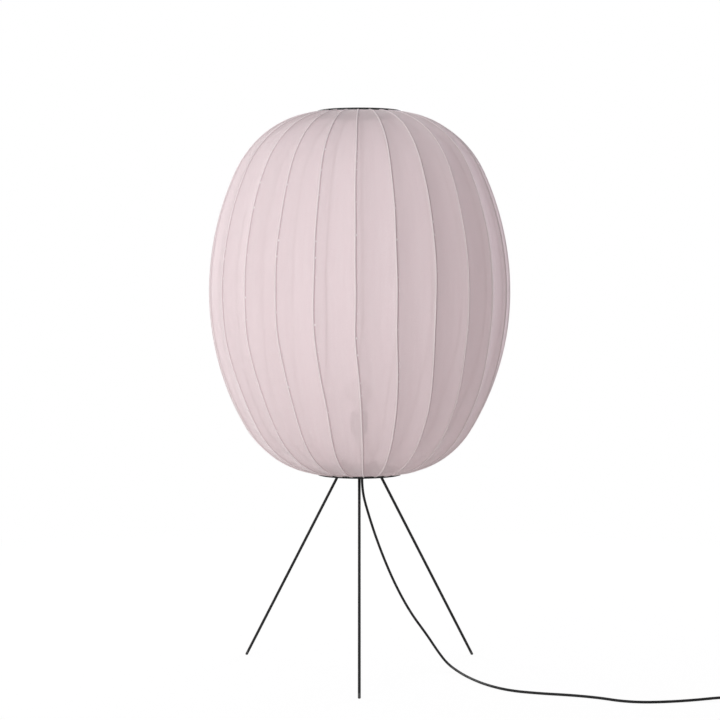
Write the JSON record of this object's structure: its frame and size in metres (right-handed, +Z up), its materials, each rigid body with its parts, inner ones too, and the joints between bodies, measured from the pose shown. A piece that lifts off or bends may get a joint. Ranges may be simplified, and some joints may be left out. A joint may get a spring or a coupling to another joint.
{
  "type": "floor lamp",
  "caption": "Floor lamp with a tall rounded shade of fine knit stretched over bowed ribs, on thin splayed rod legs, with a lead, foot switch and plug.",
  "frame": {"origin": "on the floor under the middle of the shade", "axes": "+Z up, the single front leg towards -Y, the lead runs away towards +X"},
  "size_m": [1.2673, 0.6639, 1.203],
  "materials": {
    "knit": "fine stretched knit, matt, a little see-through",
    "rib_rod": "pale pultruded rod",
    "black_steel": "fine satin black powder coat",
    "black_nylon": "moulded, fine grain",
    "black_screws": "black oxide",
    "zinc_steel": "zinc plated",
    "white_ceramic": "glazed",
    "contact_brass": "bright",
    "bulb_insulator": "glossy",
    "bulb_aluminium": "rolled thread",
    "bulb_white": "satin white",
    "bulb_opal": "opal",
    "lead_black": "smooth matt sheath",
    "switch_black": "fine grain",
    "switch_push": "polished",
    "soft_black": "soft moulded",
    "pin_nickel": "nickel plated",
    "tie_black": "woven"
  },
  "bodies": {
    "lamp": {"shade_cover": "knit", "shade_ribs": "rib_rod", "base_plate": "black_steel", "top_plate": "black_steel", "leg_front": "black_steel", "leg_right": "black_steel", "leg_left": "black_steel", "leg_boss_front": "black_steel", "leg_boss_right": "black_steel", "leg_boss_left": "black_steel", "lower_rib_ring": "black_nylon", "upper_rib_ring": "black_nylon", "foot_tip_front": "black_nylon", "foot_tip_right": "black_nylon", "foot_tip_left": "black_nylon", "holder_cap": "black_nylon", "holder_body": "black_nylon", "cord_grommet": "black_nylon", "lower_ring_screws": "black_screws", "upper_ring_screws": "black_screws", "leg_set_screws": "black_screws", "holder_bracket": "zinc_steel", "bracket_screws": "zinc_steel", "holder_nipple": "zinc_steel", "nipple_nut": "zinc_steel", "switch_screws": "zinc_steel", "contact_carrier": "white_ceramic", "screw_shell": "contact_brass", "centre_contact": "contact_brass", "inner_lead": "lead_black", "cord_drop": "lead_black", "cord_coil": "lead_black", "switch_base": "switch_black", "switch_cover": "switch_black", "switch_module": "switch_black", "switch_sleeves": "soft_black", "plug_sleeve": "soft_black", "plug_body": "soft_black", "plug_pins": "pin_nickel", "cord_tie": "tie_black"},
    "bulb": {"bulb_contact": "bulb_insulator", "bulb_base": "bulb_aluminium", "bulb_housing": "bulb_white", "bulb_globe": "bulb_opal"},
    "button": {"switch_button": "switch_push"}
  },
  "joints": [
    {"name": "bulb_lift", "type": "slide", "parent": "lamp", "child": "bulb", "axis": [0, 0, 1], "range_m": [0, 0.7]},
    {"name": "switch_press", "type": "slide", "parent": "lamp", "child": "button", "axis": [0, 0, -1], "range_m": [0, 0.0025], "stiffness_N_per_m": 900, "springref_m": -0.001}
  ]
}
